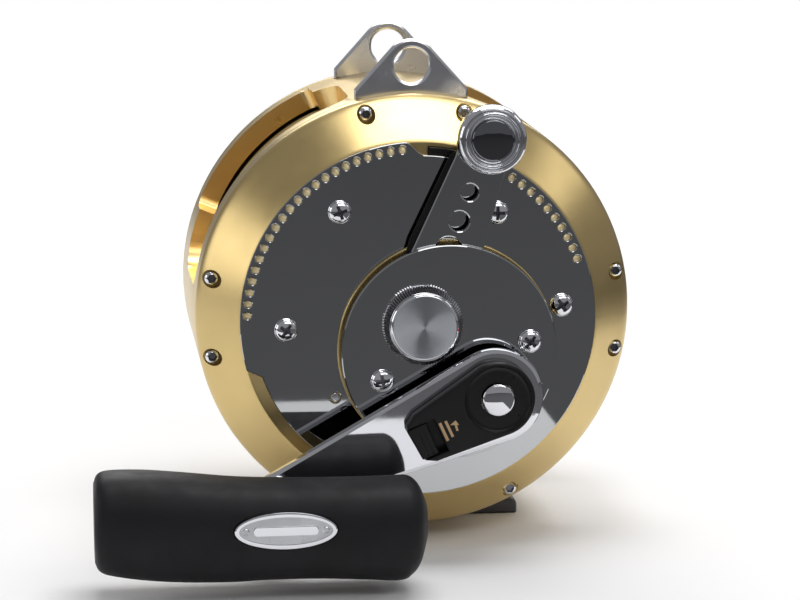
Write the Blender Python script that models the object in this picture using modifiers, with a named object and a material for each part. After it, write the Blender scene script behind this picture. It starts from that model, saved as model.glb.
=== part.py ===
"""Two-speed lever-drag trolling reel, as an assembly of separate pieces.

Blender 4.5, metres, +Z up. The reel stands on its foot: the origin is the centre of the foot's underside.
+X is forward, the way the line leaves. The spool's axis runs along Y, and the handle is on the -Y side.

Most pieces are drawn in "reel millimetres": a plan of (x, z) about the spool's axis, and a height h
along that axis, which is 0 at the middle of the frame and grows towards the handle side.
"""

from math import acos, atan2, cos, degrees, hypot, pi, radians, sin

import bmesh
import bpy
from mathutils import Matrix, Vector

# ---- driving dimensions, millimetres and degrees -------------------------------------------------
MM = 0.001
AXIS_Z = 88.5              # height of the spool's axis above the foot's underside
SIDE_H = 48.5              # height of each side plate's outline plane from the middle of the frame
RING_R = 83.0              # outside radius of frame and side plates
GAP = 0.3                  # gap left between pieces that touch

FRAME_END = SIDE_H - 6.0   # the frame's end faces, each way
FRAME_WALL = 7.6
WINDOW_H = 34.5            # half the width of the frame's windows
WINDOWS = [(106.3, 173.2), (200.3, 229.2), (311.2, 333.3), (346.3, 433.7)]

LUG_H = 39.0               # middle planes of the harness lugs, each way
LUG_THICK = 4.0
LUG_BASE_Z, LUG_BASE_HALF = 80.0, 21.5
LUG_HOLE_Z, LUG_HOLE_R, LUG_TOP_R = 93.0, 6.7, 10.0

HANDLE_X, HANDLE_Z = 25.9, -25.5    # the drive shaft's axis
ARM_ANGLE, ARM_LENGTH = 203.2, 89.6
LEVER_ANGLE, LEVER_KNOB_AT = 69.8, 73.5

PLATE_R, PLATE_LEFT_R = 66.7, 67.4  # quadrant plate, and its run of slots on the left
PLATE_LOW, PLATE_TOP = SIDE_H + 16.9, SIDE_H + 18.0
NOTCH_R = 62.6
SLOT_LONG, SLOT_WIDE = 3.2, 2.6
SLOT_RUNS = [(64.7, 95.8, 177.3, 22), (63.5, 20.5, 57.0, 10)]     # radius, first and last angle, count

DOG_LIFT = 12.0            # the anti-reverse dog rests turned this far out of its ratchet
COVER_X, COVER_Z, COVER_R = 10.2, -10.8, 40.5
COVER_LOW, COVER_TOP = SIDE_H + 24.6, SIDE_H + 26.5

HIGH_GEAR, HIGH_PINION = 33, 17     # each pair's teeth add up to 50, so both pairs share one module
LOW_GEAR, LOW_PINION = 27, 23
MODULE = 2 * hypot(HANDLE_X, HANDLE_Z) / (HIGH_GEAR + HIGH_PINION)
LOW_H = (SIDE_H - 1.5, SIDE_H + 2.5)
HIGH_H = (SIDE_H + 3.2, SIDE_H + 7.2)

SHAFT_R, DRIVE_R = 4.0, 6.0
SPOOL_R, ARBOR_R = 74.0, 30.0
SPOOL_LEFT, SPOOL_RIGHT, FLANGE = -36.0, 34.0, 3.0

RING_SCREWS = [76.3, 103.7, 169.0, 191.0, 242.0, 298.0, 349.0, 11.0]
RING_SCREW_R, RING_SCREW_H = 78.3, SIDE_H + 4.2
PLATE_SCREWS = [(-30.0, 41.5), (-50.2, -2.5), (28.9, 40.4), (53.6, 4.9)]
COVER_SCREWS = [(-15.1, -20.9), (40.3, -7.1), (17.3, -38.8)]
SET_SCREW = (-31.8, -28.8)
FOOT_SCREWS_X = (-22.0, 22.0)
FOOT_SCREW_GRIP = 7.5      # the shank below each foot screw's head

COLOURS = {                # base colour, metallic, roughness
    "gold": ((0.72, 0.52, 0.22), 1.0, 0.32),
    "dark_mirror": ((0.16, 0.165, 0.17), 1.0, 0.06),
    "chrome": ((0.82, 0.83, 0.85), 1.0, 0.08),
    "steel": ((0.55, 0.56, 0.58), 1.0, 0.3),
    "brass": ((0.72, 0.55, 0.25), 1.0, 0.35),
    "black_plastic": ((0.015, 0.015, 0.016), 0.0, 0.35),
    "grip_rubber": ((0.02, 0.02, 0.024), 0.0, 0.6),
    "foot_metal": ((0.12, 0.12, 0.125), 1.0, 0.4),
    "drag_lining": ((0.05, 0.05, 0.05), 0.0, 0.8),
}

for old in list(bpy.data.objects):
    bpy.data.objects.remove(old)

REEL = bpy.data.collections.new("trolling_reel")
CUTTERS = bpy.data.collections.new("cutters")
bpy.context.scene.collection.children.link(REEL)
bpy.context.scene.collection.children.link(CUTTERS)


# ---- small tools ---------------------------------------------------------------------------------
def material(name, finish):
    base, metallic, roughness = COLOURS[finish]
    made = bpy.data.materials.new(name)
    made.use_nodes = True
    shader = made.node_tree.nodes["Principled BSDF"]
    shader.inputs["Base Color"].default_value = (*base, 1.0)
    shader.inputs["Metallic"].default_value = metallic
    shader.inputs["Roughness"].default_value = roughness
    return made


def pivot(name, x, z, h=0.0):
    """An empty on a moving body's axis, turned so that its local Z is the reel's height h."""
    empty = bpy.data.objects.new(name, None)
    empty.location = (x * MM, -h * MM, (AXIS_Z + z) * MM)
    empty.rotation_euler = (pi / 2, 0, 0)
    REEL.objects.link(empty)
    return empty


HOME = pivot("reel_axis", 0, 0)
HANDLE = pivot("handle_axis", HANDLE_X, HANDLE_Z)
POST_X = HANDLE_X + ARM_LENGTH * cos(radians(ARM_ANGLE))
POST_Z = HANDLE_Z + ARM_LENGTH * sin(radians(ARM_ANGLE))
POST = pivot("grip_axis", POST_X, POST_Z)
LEVER = pivot("lever_axis", 0, 0)


def add(name, mesh, finish, parent=None, at=(0.0, 0.0), turn=0.0):
    """Place a mesh drawn in reel axes under an empty, moved by `at` and turned about the height."""
    made = bpy.data.objects.new(name, mesh)
    made.parent = parent or HOME
    made.location = (at[0] * MM, at[1] * MM, 0.0)
    made.rotation_euler = (0, 0, radians(turn))
    if finish is None:
        CUTTERS.objects.link(made)
        made.hide_render = True
        made.display_type = "WIRE"
    else:
        made.data.materials.append(material(name, finish))
        REEL.objects.link(made)
    return made


def turned(name, profile, finish, parent=None, at=(0.0, 0.0), steps=20):
    """A profile of (radius, height) points, turned about the height axis by a Screw modifier.

    A profile that touches the axis starts and ends on it; any other is a closed loop.
    """
    area = sum(a[0] * b[1] - b[0] * a[1] for a, b in zip(profile, profile[1:] + profile[:1]))
    points = profile if area < 0 else profile[::-1]
    edges = [(i, i + 1) for i in range(len(points) - 1)]
    if points[0][0] > 0:
        edges.append((len(points) - 1, 0))
    mesh = bpy.data.meshes.new(name)
    mesh.from_pydata([(r * MM, 0, h * MM) for r, h in points], edges, [])
    made = add(name, mesh, finish, parent, at)
    screw = made.modifiers.new("turn", "SCREW")
    screw.steps = screw.render_steps = steps
    screw.use_merge_vertices = True
    screw.merge_threshold = 0.000001
    screw.use_smooth_shade = True
    return made


def arc(radius, start, end, count, centre=(0.0, 0.0)):
    """Points along an arc, from start to end degrees."""
    turns = [radians(start + (end - start) * i / (count - 1)) for i in range(count)]
    return [(centre[0] + radius * cos(t), centre[1] + radius * sin(t)) for t in turns]


def circle(radius, count=24, centre=(0.0, 0.0)):
    return arc(radius, 0, 360 - 360 / count, count, centre)


def plate(name, outline, low, high, finish, holes=(), parent=None, at=(0.0, 0.0), turn=0.0):
    """A flat outline with holes, from height low to high: a filled 2D curve made into a mesh."""
    curve = bpy.data.curves.new(name, "CURVE")
    curve.dimensions = "2D"
    curve.fill_mode = "BOTH"
    curve.extrude = (high - low) / 2 * MM
    for points in [outline, *holes]:
        spline = curve.splines.new("POLY")
        spline.points.add(len(points) - 1)
        for point, (x, z) in zip(spline.points, points):
            point.co = (x * MM, z * MM, 0, 1)
        spline.use_cyclic_u = True
    guide = bpy.data.objects.new(name + "_curve", curve)
    CUTTERS.objects.link(guide)
    ready = guide.evaluated_get(bpy.context.evaluated_depsgraph_get())
    mesh = bpy.data.meshes.new_from_object(ready)
    bpy.data.objects.remove(guide)
    shape = bmesh.new()
    shape.from_mesh(mesh)
    bmesh.ops.remove_doubles(shape, verts=shape.verts, dist=0.000002)
    bmesh.ops.translate(shape, verts=shape.verts, vec=(0, 0, (low + high) / 2 * MM))
    bmesh.ops.recalc_face_normals(shape, faces=shape.faces)
    shape.to_mesh(mesh)
    shape.free()
    return add(name, mesh, finish, parent, at, turn)


def cut(target, cutter, operation="DIFFERENCE"):
    boolean = target.modifiers.new("cut_" + cutter.name, "BOOLEAN")
    boolean.operation = operation
    boolean.solver = "EXACT"
    boolean.object = cutter


def join(target, piece):
    """Add a helper solid to target, as one body."""
    cut(target, piece, "UNION")


def drill(target, x, z, radius, low, high, steps=16):
    """A round hole through target, along the height."""
    hole = turned(f"{target.name}_hole_{len(target.modifiers)}",
                  [(0, high), (radius, high), (radius, low), (0, low)], None, at=(x, z), steps=steps)
    cut(target, hole)


def counterbore(target, x, z, shank, head, floor, low, high):
    """A stepped hole for a screw: the shank's radius below the floor, the head's above it."""
    steps = [(0, high), (head, high), (head, floor), (shank, floor), (shank, low), (0, low)]
    cut(target, turned(f"{target.name}_screw_hole_{len(target.modifiers)}", steps, None, at=(x, z), steps=8))


def polar(radius, angle):
    return radius * cos(radians(angle)), radius * sin(radians(angle))


def screw_piece(name, at, head_r, head_low, head_high, shank_r, shank_low, finish="chrome"):
    """A screw: a domed head and its shank, as one solid."""
    dome = head_high - (head_high - head_low) * 0.45
    profile = [(0, head_high), (head_r * 0.65, head_high), (head_r, dome), (head_r, head_low),
               (shank_r, head_low), (shank_r, shank_low), (0, shank_low)]
    return turned(name, profile, finish, at=at, steps=8)


# ---- frame, lugs and foot ------------------------------------------------------------------------
def make_frame():
    inner = RING_R - FRAME_WALL
    tube = [(RING_R, FRAME_END), (RING_R, -FRAME_END), (inner, -FRAME_END), (inner, FRAME_END)]
    frame = turned("frame", tube, "gold", steps=40)
    for index, (start, end) in enumerate(WINDOWS):
        count = int((end - start) / 7) + 2
        sector = arc(RING_R + 9, start, end, count) + arc(inner - 9, end, start, count)
        cut(frame, plate(f"window_{index}", sector, -WINDOW_H, WINDOW_H, None))
    half = LUG_THICK / 2 + GAP
    for side, middle in (("right", LUG_H), ("left", -LUG_H)):
        width = LUG_BASE_HALF + GAP
        low, high = LUG_BASE_Z - GAP, RING_R + 9
        slot = [(-width, low), (width, low), (width, high), (-width, high)]
        cut(frame, plate(f"lug_slot_{side}", slot, middle - half, middle + half, None))
    for angle in RING_SCREWS:
        x, z = polar(RING_SCREW_R, angle)
        drill(frame, x, z, 1.6, FRAME_END - 6, FRAME_END + 5, steps=10)
    for index, x in enumerate(FOOT_SCREWS_X):
        cut(frame, foot_cutter(f"frame_foot_hole_{index}", x, 2.1, -RING_R - 5, -76.5))


def foot_cutter(name, x, radius, low, high):
    """A vertical round cutter, for the foot's screws."""
    mesh = bpy.data.meshes.new(name)
    shape = bmesh.new()
    bmesh.ops.create_cone(shape, cap_ends=True, segments=14, radius1=radius * MM, radius2=radius * MM,
                          depth=(high - low) * MM)
    bmesh.ops.rotate(shape, verts=shape.verts, matrix=Matrix.Rotation(pi / 2, 3, "X"))
    bmesh.ops.translate(shape, verts=shape.verts, vec=(x * MM, (low + high) / 2 * MM, 0))
    shape.to_mesh(mesh)
    shape.free()
    return add(name, mesh, None)


def make_lugs():
    slope = atan2(LUG_HOLE_Z - LUG_BASE_Z - 4.0, LUG_BASE_HALF)
    reach = hypot(LUG_BASE_HALF, LUG_HOLE_Z - LUG_BASE_Z - 4.0)
    tangent = degrees(slope + acos(LUG_TOP_R / reach))
    outline = [(-LUG_BASE_HALF, LUG_BASE_Z), (LUG_BASE_HALF, LUG_BASE_Z), (LUG_BASE_HALF, LUG_BASE_Z + 4.0)]
    outline += arc(LUG_TOP_R, 180 - tangent - 90 + 14, tangent + 90 - 14, 13, (0, LUG_HOLE_Z))
    outline += [(-LUG_BASE_HALF, LUG_BASE_Z + 4.0)]
    hole = circle(LUG_HOLE_R, 24, (0, LUG_HOLE_Z))
    for side, middle in (("right", LUG_H), ("left", -LUG_H)):
        low, high = middle - LUG_THICK / 2, middle + LUG_THICK / 2
        plate(f"harness_lug_{side}", outline, low, high, "chrome", [hole])


def make_foot():
    half, block, flat = 45.5, 30.0, AXIS_Z - 6.0
    saddle = degrees(acos(block / (RING_R + GAP)))
    outline = [(-half, -AXIS_Z), (half, -AXIS_Z), (half, -flat - 1.5), (half - 1.5, -flat), (block, -flat)]
    outline += arc(RING_R + GAP, -saddle, -180 + saddle, 15)
    outline += [(-block, -flat), (-half + 1.5, -flat), (-half, -flat - 1.5)]
    foot = plate("reel_foot", outline, -15.0, 15.0, "foot_metal")
    for index, x in enumerate(FOOT_SCREWS_X):
        cut(foot, foot_cutter(f"foot_hole_{index}", x, 2.3, -AXIS_Z - 1, -60.0))
        cut(foot, foot_cutter(f"foot_head_hole_{index}", x, 4.3, -AXIS_Z - 1, -AXIS_Z + 4.3))
        head = screw_piece(f"foot_screw_{index + 1}", (x, 0), 4.0, 0.0, 3.4, 1.8, -FOOT_SCREW_GRIP)
        head.location = (x * MM, (-AXIS_Z + 4.0) * MM, 0)
        head.rotation_euler = (pi / 2, 0, 0)


# ---- side plates ---------------------------------------------------------------------------------
def rim_profile(top_r, top_h):
    """The outside of a side plate: rim, rounded edge and cone, from the rim's inner face up."""
    return [(RING_R, -5.7), (RING_R, -3.0), (82.7, -1.2), (81.7, 0.8), (80.0, 2.8),
            (top_r + 0.6, top_h - 0.8), (top_r - 0.4, top_h)]


def make_right_side():
    outside = [(r, SIDE_H + h) for r, h in rim_profile(67.4, 16.6)]
    inside = [(4.6, SIDE_H + 16.6), (4.6, SIDE_H + 11.5), (60.5, SIDE_H + 11.5), (64.0, SIDE_H + 9.5),
              (75.6, SIDE_H - 2.6), (75.6, SIDE_H - 5.7)]
    body = turned("right_side_plate", outside + inside, "gold", steps=32)
    drill(body, 0, 0, 13.6, SIDE_H + 10, SIDE_H + 18, steps=24)
    drill(body, HANDLE_X, HANDLE_Z, 11.3, SIDE_H + 10, SIDE_H + 18, steps=24)
    for angle in RING_SCREWS:
        x, z = polar(RING_SCREW_R, angle)
        counterbore(body, x, z, 1.6, 3.3, SIDE_H - 0.2, SIDE_H - 8, SIDE_H + 12)
    for x, z in PLATE_SCREWS + COVER_SCREWS:
        drill(body, x, z, 1.8, SIDE_H + 10, SIDE_H + 18, steps=8)
    pocket = arc(65.6, 74.6, 87.4, 6) + arc(62.3, 87.4, 74.6, 6)
    cut(body, plate("strike_pocket", pocket, SIDE_H + 13.4, SIDE_H + 20, None))


def make_ring_screws():
    for index, angle in enumerate(RING_SCREWS):
        screw_piece(f"ring_screw_{index + 1}", polar(RING_SCREW_R, angle), 2.6, SIDE_H + 0.1, SIDE_H + 3.9,
                    1.3, SIDE_H - 10.5)


def make_quadrant_plate():
    ramp = 2.5
    outline = arc(PLATE_LEFT_R, 94.4, 195.3, 20) + arc(NOTCH_R, 199.0, 250.0, 10)
    outline += arc(PLATE_R, 250.0 + ramp, 420.0, 31) + arc(NOTCH_R - 0.4, 420.0 + ramp, 449.0, 6)
    outline += [polar(63.0, 90.2), polar(65.0, 91.9), polar(66.8, 93.4)]
    slots = []
    for radius, first, last, count in SLOT_RUNS:
        for index in range(count):
            slots.append(slot_outline(radius, first + (last - first) * index / (count - 1)))
    holes = [circle(13.6, 24), circle(7.0, 20, (HANDLE_X, HANDLE_Z)), circle(2.0, 8, SET_SCREW)]
    holes += [circle(1.8, 8, centre) for centre in PLATE_SCREWS + COVER_SCREWS]
    plate("quadrant_plate", outline, PLATE_LOW, PLATE_TOP, "dark_mirror", holes + slots)
    for index, centre in enumerate(PLATE_SCREWS):
        screw_piece(f"plate_screw_{index + 1}", centre, 4.4, PLATE_TOP + GAP, PLATE_TOP + 2.9,
                    1.5, SIDE_H + 12.0)
    plug = [(0, PLATE_TOP - 0.5), (1.7, PLATE_TOP - 0.5), (1.7, PLATE_LOW), (0, PLATE_LOW)]
    turned("set_screw", plug, "steel", at=SET_SCREW, steps=12)


def slot_outline(radius, angle):
    """A detent slot: round-ended, long along the radius."""
    half, reach = SLOT_WIDE / 2, (SLOT_LONG - SLOT_WIDE) / 2
    ends = arc(half, 90, -90, 3, (reach, 0)) + arc(half, 270, 90, 3, (-reach, 0))
    turn = Matrix.Rotation(radians(angle), 2)
    shifted = [turn @ Vector((radius + x, z)) for x, z in ends]
    return [(point.x, point.y) for point in shifted]


def make_cover():
    """The disc over the lever's hub, the wall that carries its lower half, and its screws."""
    holes = [circle(4.6, 24), circle(7.0, 24, (HANDLE_X, HANDLE_Z))]
    holes += [circle(1.8, 12, centre) for centre in COVER_SCREWS]
    outline = circle(COVER_R, 36, (COVER_X, COVER_Z))
    plate("cover_disc", outline, COVER_LOW, COVER_TOP, "dark_mirror", holes)
    centre = (COVER_X, COVER_Z)
    low, high = PLATE_TOP + GAP, COVER_LOW - GAP
    spacer = plate("cover_spacer", circle(41.3, 30, centre), low, SIDE_H + 19.3, "gold",
                   [circle(33.0, 24, centre)])
    wall = arc(39.2, 190.0, 364.0, 16, centre) + arc(29.6, 364.0, 190.0, 14, centre)
    join(spacer, plate("cover_wall", wall, low, high, None))
    for index, (x, z) in enumerate(COVER_SCREWS):
        boss = [(0, high), (3.6, high), (3.6, low), (0, low)]
        join(spacer, turned(f"cover_boss_{index}", boss, None, at=(x, z), steps=10))
        drill(spacer, x, z, 1.8, low - 1, high + 1, steps=8)
    for index, spot in enumerate(COVER_SCREWS):
        screw_piece(f"cover_screw_{index + 1}", spot, 4.4, COVER_TOP + GAP, COVER_TOP + 3.0,
                    1.5, SIDE_H + 12.0)


def make_left_side():
    outside = [(r, -SIDE_H - h) for r, h in rim_profile(64.0, 13.0)]
    inside = [(4.3, -SIDE_H - 13.0), (4.3, -SIDE_H - 4.0), (10.0, -SIDE_H - 4.0), (10.0, -SIDE_H - 9.0),
              (60.0, -SIDE_H - 9.0), (76.0, -SIDE_H + 2.0), (76.0, -SIDE_H + 5.7)]
    body = turned("left_side_plate", outside + inside, "gold", steps=32)
    slot = [(-3.0, 38.4), (3.0, 38.4), (3.0, 50.0), (-3.0, 50.0)]
    cut(body, plate("clicker_slot", slot, -SIDE_H - 15, -SIDE_H - 7, None))
    cap = [(0, -19.0), (9.0, -18.5), (15.0, -16.5), (16.0, -15.0), (16.0, -13.3), (6.0, -13.3), (6.0, -16.0),
           (0, -16.0)]
    turned("left_bearing_cap", [(r, h - SIDE_H) for r, h in cap], "gold", steps=28)


# ---- spool and its shaft -------------------------------------------------------------------------
def make_spool():
    right, left = SPOOL_RIGHT, SPOOL_LEFT
    profile = [(SPOOL_R, right), (SPOOL_R, right - FLANGE), (ARBOR_R, right - FLANGE - 1),
               (ARBOR_R, left + FLANGE + 1), (SPOOL_R, left + FLANGE), (SPOOL_R, left), (11.3, left),
               (11.3, left + 7.3), (8.5, left + 7.3), (8.5, right - 7.3), (11.3, right - 7.3), (11.3, right)]
    turned("spool", profile, "gold", steps=24)
    for side, low in (("right", right - 7.0), ("left", left)):
        ring = [(11.0, low + 7), (11.0, low), (SHAFT_R + 0.15, low), (SHAFT_R + 0.15, low + 7)]
        turned(f"spool_bearing_{side}", ring, "steel", steps=20)
    lining = [(56.0, right + 2.3), (56.0, right + GAP), (25.0, right + GAP), (25.0, right + 2.3)]
    turned("drag_disc", lining, "drag_lining", steps=20)
    plate("click_ratchet", teeth_outline(8, 31.0, 35.0, 0.2, 0.1, 112.5), left - 2.3, left - GAP, "steel",
          [circle(26.0, 32)])
    shaft = [(0, SIDE_H + 31.6), (3.4, SIDE_H + 31.6), (SHAFT_R, SIDE_H + 31.0), (SHAFT_R, -SIDE_H - 12.0),
             (0, -SIDE_H - 12.0)]
    turned("spool_shaft", shaft, "steel", steps=20)
    washers = [(8.0, 9.6), (8.0, 9.0), (SHAFT_R + GAP, 10.2), (SHAFT_R + GAP, 11.0), (7.0, 11.8), (8.0, 11.8),
               (8.0, 11.2), (6.0, 10.5)]
    turned("drag_spring", [(r, SIDE_H + h) for r, h in washers], "steel", steps=20)


# ---- gears ---------------------------------------------------------------------------------------
def teeth_outline(teeth, root_r, tip_r, root_half, tip_half, first):
    """Trapezoid teeth: half widths as fractions of the pitch, the first tooth centred at `first`."""
    points = []
    for index in range(teeth):
        corners = ((root_r, -root_half), (tip_r, -tip_half), (tip_r, tip_half), (root_r, root_half))
        for radius, share in corners:
            points.append(polar(radius, first + 360 / teeth * (index + share)))
    return points


def gear_outline(teeth, first):
    return teeth_outline(teeth, MODULE * (teeth / 2 - 1.15), MODULE * (teeth / 2 + 0.85), 0.29, 0.1, first)


def make_gears():
    mesh_angle = degrees(atan2(-HANDLE_Z, -HANDLE_X))
    high = gear_outline(HIGH_GEAR, mesh_angle)
    plate("high_gear", high, *HIGH_H, "brass", [circle(DRIVE_R + GAP, 24)], parent=HANDLE)
    low = gear_outline(LOW_GEAR, mesh_angle)
    plate("low_gear", low, *LOW_H, "brass", [circle(DRIVE_R + 0.15, 24)], parent=HANDLE)
    across = mesh_angle - 180
    top, bottom = HIGH_H[1] + 0.8, SIDE_H - 11.4
    cluster = turned("pinion_cluster", [(0, top), (7.5, top), (7.5, bottom), (0, bottom)], "steel", steps=16)
    high_teeth = gear_outline(HIGH_PINION, across + 180 / HIGH_PINION)
    join(cluster, plate("high_pinion_teeth", high_teeth, *HIGH_H, None))
    low_teeth = gear_outline(LOW_PINION, across + 180 / LOW_PINION)
    join(cluster, plate("low_pinion_teeth", low_teeth, *LOW_H, None))
    drill(cluster, 0, 0, SHAFT_R + GAP, bottom - 1, top + 1, steps=16)
    plate_profile = [(57.0, SIDE_H - 9.2), (57.0, SIDE_H - 11.4), (7.8, SIDE_H - 11.4), (7.8, SIDE_H - 8.8),
                     (14.0, SIDE_H - 8.8), (15.0, SIDE_H - 9.2)]
    turned("pressure_plate", plate_profile, "steel", steps=20)
    bearing = [(12.0, SIDE_H - 2.8), (12.0, SIDE_H - 8.2), (7.65, SIDE_H - 8.2), (7.65, SIDE_H - 2.8)]
    turned("pinion_bearing", bearing, "steel", steps=20)
    case = [(75.2, -4.0), (75.2, -6.5), (16.0, -6.5), (16.0, -8.2), (12.3, -8.2), (12.3, -2.8), (16.0, -2.8),
            (16.0, -4.0)]
    cover = turned("gear_case_cover", [(r, SIDE_H + h) for r, h in case], "foot_metal", steps=24)
    drill(cover, HANDLE_X, HANDLE_Z, 5.15, SIDE_H - 8, SIDE_H - 2, steps=24)


def make_anti_reverse():
    points = []
    for index in range(16):
        points += [polar(13.5, index * 22.5 - 6.0), polar(10.8, index * 22.5 - 4.5)]
    plate("anti_reverse_ratchet", points, SIDE_H + 7.9, SIDE_H + 9.9, "steel", [circle(DRIVE_R + GAP, 24)],
          parent=HANDLE)
    # The dog is drawn engaged, its tip just clear of a tooth's steep face, and turned out of the teeth.
    dog = arc(3.2, -20, 200, 10) + [(-2.2, -8.8), (-3.3, -11.2), (-4.4, -13.5), (-1.5, -14.0)]
    plate("anti_reverse_dog", dog, SIDE_H + 7.9, SIDE_H + 9.9, "steel", [circle(1.65, 12)], parent=DOG,
          turn=DOG_LIFT)
    turned("dog_pin", [(0, 11.2), (1.5, 11.2), (1.5, 7.4), (0, 7.4)], "steel", at=(DOG_X, DOG_Z), steps=12)


# ---- handle --------------------------------------------------------------------------------------
def arm_outline():
    """The arm's plan, along its own length: round hub end, straight taper, round tip."""
    hub_r, tip_r = 18.0, 7.8
    lean = degrees(acos((hub_r - tip_r) / ARM_LENGTH))
    return arc(hub_r, lean, 360 - lean, 22) + arc(tip_r, -lean, lean, 12, (ARM_LENGTH, 0))


def make_handle():
    low, high = SIDE_H + 34.5, SIDE_H + 39.0
    shaft = [(0, high - 2.8), (2.7, high - 2.8), (2.7, high - 0.4), (DRIVE_R, high - 0.4),
             (DRIVE_R, LOW_H[0] - 0.3), (5.0, LOW_H[0] - 0.3), (5.0, SIDE_H - 6.2), (0, SIDE_H - 6.2)]
    turned("drive_shaft", shaft, "steel", HANDLE, steps=24)
    bearing = [(11.0, SIDE_H + 16.4), (11.0, SIDE_H + 11.5), (DRIVE_R + 0.15, SIDE_H + 11.5),
               (DRIVE_R + 0.15, SIDE_H + 16.4)]
    turned("drive_bearing", bearing, "steel", at=(HANDLE_X, HANDLE_Z), steps=20)
    arm = plate("handle_arm", arm_outline(), low, high, "chrome", [circle(5.3, 20, (ARM_LENGTH, 0))], HANDLE,
                turn=ARM_ANGLE)
    boss = [(0, low + 1.0), (9.6, low + 1.0), (9.6, COVER_TOP + 0.5), (0, COVER_TOP + 0.5)]
    join(arm, turned("arm_boss", boss, None, HANDLE, steps=32))
    drill(arm, HANDLE_X, HANDLE_Z, DRIVE_R + GAP, COVER_TOP, high + 1, steps=24)
    post = [(0, 81.0), (4.6, 81.0), (5.0, 80.6), (5.0, 54.6), (7.6, 54.6), (7.6, 39.3), (5.0, 39.3),
            (5.0, 33.9), (0, 33.9)]
    turned("grip_post", [(r, SIDE_H + h) for r, h in post], "chrome", POST, steps=24)


def make_shift_cap():
    """The black cap on the hub, with the push button in it and the sliding tab beyond the button."""
    low, high = SIDE_H + 39.3, SIDE_H + 44.8
    rails = [(30.9, -7.6), (34.6, -5.0), (35.2, -3.4), (24.4, -3.4), (24.4, 9.7), (33.4, 9.7), (29.8, 11.7)]
    body = arc(13.8, 86, 282, 22) + rails
    plate("shift_cap", body, low, high, "black_plastic", [circle(6.4, 24)], HANDLE, turn=ARM_ANGLE)
    tab = [(27.7, -3.1), (35.6, -3.1), (34.3, 9.4), (27.7, 9.4)]
    plate("release_tab", tab, low, high - 0.6, "black_plastic", (), HANDLE, turn=ARM_ANGLE)
    button = [(0, 46.0), (5.2, 46.0), (6.0, 45.3), (6.0, 41.2), (2.3, 41.2), (2.3, 38.7), (0, 38.7)]
    turned("shift_button", [(r, SIDE_H + h) for r, h in button], "chrome", HANDLE, steps=24)


GRIP_STATIONS = [          # x, top z, bottom z, from the flat end to the slanted one
    (-123.4, -46.5, -74.0), (-121.8, -43.2, -77.0), (-117.5, -42.0, -78.8), (-106.0, -42.1, -80.8),
    (-92.0, -43.4, -82.0), (-75.0, -45.3, -82.4), (-62.0, -46.1, -82.0), (-45.0, -46.6, -82.1),
    (-27.0, -46.8, -83.0), (-15.0, -46.6, -83.7), (-10.6, -46.9, -81.8), (-7.4, -49.5, -77.5),
    (-5.2, -54.5, -69.5),
]
GRIP_DEPTH = 17.4
GRIP_H = SIDE_H + 73.0


def make_grip():
    shape = bmesh.new()
    rings = []
    for x, top, bottom in GRIP_STATIONS:
        middle, half = (top + bottom) / 2, (top - bottom) / 2
        depth = GRIP_DEPTH * min(1.0, 0.35 + half / 28.0)
        ring = []
        for step in range(16):
            turn = 2 * pi * step / 16
            square = (abs(cos(turn)) ** 2.5 + abs(sin(turn)) ** 2.5) ** (-1 / 2.5)
            spot = ((x - POST_X) * MM, (middle - POST_Z + half * square * sin(turn)) * MM,
                    (GRIP_H + depth * square * cos(turn)) * MM)
            ring.append(shape.verts.new(spot))
        rings.append(ring)
    for before, after in zip(rings, rings[1:]):
        for step in range(16):
            nxt = (step + 1) % 16
            shape.faces.new((before[step], before[nxt], after[nxt], after[step]))
    shape.faces.new(rings[0][::-1])
    shape.faces.new(rings[-1])
    bmesh.ops.recalc_face_normals(shape, faces=shape.faces)
    mesh = bpy.data.meshes.new("grip")
    shape.to_mesh(mesh)
    shape.free()
    grip = add("grip", mesh, "grip_rubber", POST)
    bore = [(0, SIDE_H + 81.5), (5.3, SIDE_H + 81.5), (5.3, SIDE_H + 50), (0, SIDE_H + 50)]
    cut(grip, turned("grip_bore", bore, None, POST, steps=24))
    face = GRIP_H + GRIP_DEPTH
    pocket = plate("badge_pocket", oval(18.6, 7.0), face - 1.6, face + 5, None, parent=POST)
    cut(grip, pocket)
    plate("grip_badge", oval(18.3, 6.7), face - 1.3, face + 0.4, "chrome", parent=POST)


def oval(half_long, half_high):
    return [(half_long * cos(radians(a)), half_high * sin(radians(a))) for a in range(0, 360, 12)]


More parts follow.
